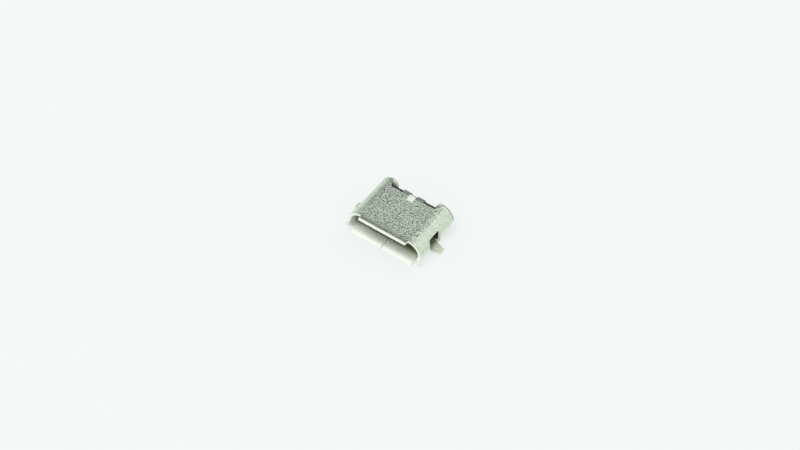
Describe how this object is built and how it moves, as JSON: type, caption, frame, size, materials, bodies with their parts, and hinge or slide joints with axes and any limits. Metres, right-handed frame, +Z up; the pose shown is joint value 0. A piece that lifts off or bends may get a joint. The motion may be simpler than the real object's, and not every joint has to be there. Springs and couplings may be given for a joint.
{
  "type": "micro usb socket",
  "caption": "Small metal-shelled data and power socket for a circuit board's edge, with flared mouth, round corners, side feet and rear solder tails.",
  "frame": {"origin": "middle of the side walls' front edge, on the board's surface", "axes": "+X across the mouth, +Y from the mouth to the back, +Z up from the board"},
  "size_m": [0.0088, 0.006, 0.0026],
  "materials": {
    "tinned_steel": "dull tin plate, mottled",
    "black_plastic": "moulded, matte",
    "gold_plate": "thin gold plate"
  },
  "bodies": {
    "root": {"shell": "tinned_steel", "insulator": "black_plastic", "contact_1": "gold_plate", "contact_2": "gold_plate", "contact_3": "gold_plate", "contact_4": "gold_plate", "contact_5": "gold_plate"}
  },
  "joints": []
}
